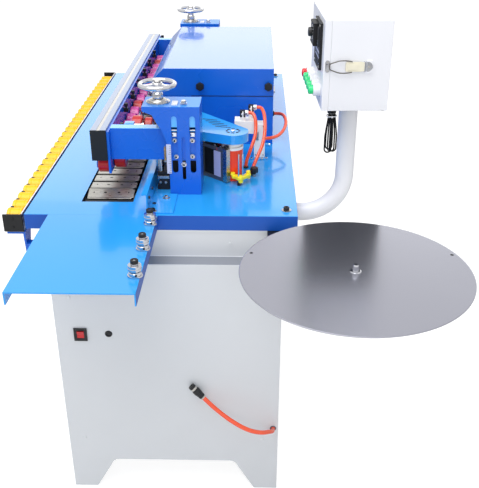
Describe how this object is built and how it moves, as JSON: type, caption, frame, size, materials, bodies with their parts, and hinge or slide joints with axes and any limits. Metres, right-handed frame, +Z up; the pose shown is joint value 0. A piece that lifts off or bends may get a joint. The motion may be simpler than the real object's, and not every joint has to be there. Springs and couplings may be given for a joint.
{
  "type": "edge banding machine",
  "caption": "Floor-standing edge banding machine: cabinet, blue table with slatted feed chain, press beam, glue unit, trimming hood, roller rail, tape tray and control box.",
  "frame": {"origin": "middle of the whole machine's footprint, on the floor", "axes": "+Z up; +Y is the direction a panel is fed; +X is the side of the tape tray and the control box"},
  "size_m": [1.0944, 1.9676, 1.305],
  "materials": {
    "grey_paint": "light grey powder coat, semi-gloss",
    "blue_paint": "high-gloss blue enamel",
    "aluminium": "anodised",
    "yellow_plastic": "satin moulded",
    "dark_casting": "dark, semi-matt",
    "steel": "machined",
    "chrome": "polished",
    "red_rubber": "smooth polyurethane",
    "orange_paint": "glossy enamel",
    "black_plastic": "satin",
    "cream_enamel": "semi-gloss",
    "orange_hose": "glossy polyurethane tube",
    "satin_steel": "satin",
    "white_paint": "white powder coat",
    "red_cap": "glossy",
    "green_cap": "glossy"
  },
  "bodies": {
    "machine": {"cabinet": "grey_paint", "riser_frame": "grey_paint", "base_plate": "blue_paint", "infeed_table": "blue_paint", "guide_fence": "blue_paint", "roller_rail": "aluminium", "rail_rollers": "yellow_plastic", "rail_bracket_front": "blue_paint", "chain_bed": "dark_casting", "feed_chain": "steel", "gear_motor": "dark_casting", "guide_post_1": "steel", "guide_post_2": "steel", "guide_post_3": "steel", "column_front": "blue_paint", "column_rear": "blue_paint", "hood_base": "blue_paint", "glue_pot": "dark_casting", "glue_motor": "orange_paint", "drive_cover": "blue_paint", "tape_guide": "black_plastic", "valve_block": "cream_enamel", "hose_left": "orange_hose", "hose_right": "orange_hose", "hose_loop": "orange_hose", "tray_arm": "black_plastic", "control_pipe": "white_paint", "control_box": "white_paint", "cable_hank": "black_plastic", "air_hose": "orange_hose", "air_union": "black_plastic", "switch_bezel": "black_plastic"},
    "drive_drum": {"drive_drum": "steel"},
    "idler_drum": {"idler_drum": "steel"},
    "guide_roller_1": {"guide_roller_1": "chrome"},
    "guide_roller_2": {"guide_roller_2": "chrome"},
    "guide_roller_3": {"guide_roller_3": "chrome"},
    "beam": {"press_beam": "aluminium", "wheel_carrier": "blue_paint", "beam_arm_front": "blue_paint", "beam_arm_rear": "blue_paint"},
    "handwheel_front": {"handwheel_front": "chrome", "spindle_front": "steel"},
    "handwheel_rear": {"handwheel_rear": "chrome", "spindle_rear": "steel"},
    "press_wheel_1": {"press_wheel_1": "red_rubber"},
    "press_wheel_2": {"press_wheel_2": "red_rubber"},
    "glue_roller": {"glue_roller": "steel"},
    "tray_disc": {"tray_disc": "satin_steel"},
    "hood_lid": {"hood_lid": "blue_paint"},
    "box_door": {"box_door": "white_paint", "controller": "black_plastic"},
    "controller_knob": {"controller_knob": "black_plastic"},
    "button_red": {"button_red": "red_cap"},
    "button_green_1": {"button_green_1": "green_cap"},
    "button_green_2": {"button_green_2": "green_cap"},
    "button_green_3": {"button_green_3": "green_cap"},
    "button_green_4": {"button_green_4": "green_cap"},
    "latch_lever": {"latch_lever": "steel"},
    "rocker_switch": {"rocker_switch": "red_cap"}
  },
  "joints": [
    {"name": "drive_drum_spin", "type": "hinge", "parent": "machine", "child": "drive_drum", "pos_m": [-0.299, 0.722, 0.776], "axis": [1, 0, 0], "continuous": true},
    {"name": "idler_drum_spin", "type": "hinge", "parent": "machine", "child": "idler_drum", "pos_m": [-0.299, -0.294, 0.776], "axis": [1, 0, 0], "continuous": true},
    {"name": "guide_roller_1_spin", "type": "hinge", "parent": "machine", "child": "guide_roller_1", "pos_m": [-0.171, -0.507, 0.8717], "axis": [0, 0, 1], "continuous": true},
    {"name": "guide_roller_2_spin", "type": "hinge", "parent": "machine", "child": "guide_roller_2", "pos_m": [-0.171, -0.639, 0.8717], "axis": [0, 0, 1], "continuous": true},
    {"name": "guide_roller_3_spin", "type": "hinge", "parent": "machine", "child": "guide_roller_3", "pos_m": [-0.171, -0.764, 0.8717], "axis": [0, 0, 1], "continuous": true},
    {"name": "front_handwheel_turn", "type": "hinge", "parent": "machine", "child": "handwheel_front", "pos_m": [-0.168, -0.277, 1.13], "axis": [0, 0, 1], "range_deg": [-2520, 720]},
    {"name": "rear_handwheel_turn", "type": "hinge", "parent": "machine", "child": "handwheel_rear", "pos_m": [-0.168, 0.79, 1.13], "axis": [0, 0, 1], "range_deg": [-2520, 720]},
    {"name": "beam_lift", "type": "slide", "parent": "machine", "child": "beam", "axis": [0, 0, 1], "range_m": [-0.035, 0.01]},
    {"name": "press_wheel_1_spin", "type": "hinge", "parent": "beam", "child": "press_wheel_1", "pos_m": [-0.3157, -0.288, 0.9195], "axis": [1, 0, 0], "continuous": true},
    {"name": "press_wheel_2_spin", "type": "hinge", "parent": "beam", "child": "press_wheel_2", "pos_m": [-0.2777, -0.252, 0.9275], "axis": [1, 0, 0], "continuous": true},
    {"name": "glue_roller_spin", "type": "hinge", "parent": "machine", "child": "glue_roller", "pos_m": [-0.155, -0.172, 0.8606], "axis": [0, 0, 1], "continuous": true},
    {"name": "tray_spin", "type": "hinge", "parent": "machine", "child": "tray_disc", "pos_m": [0.2974, -0.734, 0.85], "axis": [0, 0, 1], "continuous": true},
    {"name": "hood_lid_hinge", "type": "hinge", "parent": "machine", "child": "hood_lid", "pos_m": [0.1335, 0.4055, 0.9983], "axis": [0, 1, 0], "range_deg": [0, 95]},
    {"name": "box_door_hinge", "type": "hinge", "parent": "machine", "child": "box_door", "pos_m": [0.2464, -0.10147, 1.1975], "axis": [0, 0, -1], "range_deg": [0, 110]},
    {"name": "controller_knob_turn", "type": "hinge", "parent": "box_door", "child": "controller_knob", "pos_m": [0.2177, -0.25463, 1.258], "axis": [0.9993, 0.0366, 0], "range_deg": [-150, 150]},
    {"name": "button_green_1_press", "type": "slide", "parent": "box_door", "child": "button_green_1", "axis": [0.9993, 0.0366, 0], "range_m": [0, 0.003], "stiffness_N_per_m": 250, "springref_m": -0.001},
    {"name": "button_green_2_press", "type": "slide", "parent": "box_door", "child": "button_green_2", "axis": [0.9993, 0.0366, 0], "range_m": [0, 0.003], "stiffness_N_per_m": 250, "springref_m": -0.001},
    {"name": "button_green_3_press", "type": "slide", "parent": "box_door", "child": "button_green_3", "axis": [0.9993, 0.0366, 0], "range_m": [0, 0.003], "stiffness_N_per_m": 250, "springref_m": -0.001},
    {"name": "button_green_4_press", "type": "slide", "parent": "box_door", "child": "button_green_4", "axis": [0.9993, 0.0366, 0], "range_m": [0, 0.003], "stiffness_N_per_m": 250, "springref_m": -0.001},
    {"name": "button_red_press", "type": "slide", "parent": "box_door", "child": "button_red", "axis": [0.9993, 0.0366, 0], "range_m": [0, 0.003], "stiffness_N_per_m": 250, "springref_m": -0.001},
    {"name": "latch_lever_swing", "type": "hinge", "parent": "machine", "child": "latch_lever", "pos_m": [0.3378, -0.3618, 1.1985], "axis": [0, 0, 1], "range_deg": [0, 120]},
    {"name": "rocker_switch_tilt", "type": "hinge", "parent": "machine", "child": "rocker_switch", "pos_m": [-0.3715, -0.5017, 0.5281], "axis": [1, 0, 0], "range_deg": [-9, 0]}
  ],
  "couplings": [
    {"joint": "idler_drum_spin", "follows": "drive_drum_spin", "ratio": 1},
    {"joint": "front_handwheel_turn", "follows": "beam_lift", "rad_per_m": 1256.6},
    {"joint": "rear_handwheel_turn", "follows": "beam_lift", "rad_per_m": 1256.6}
  ]
}
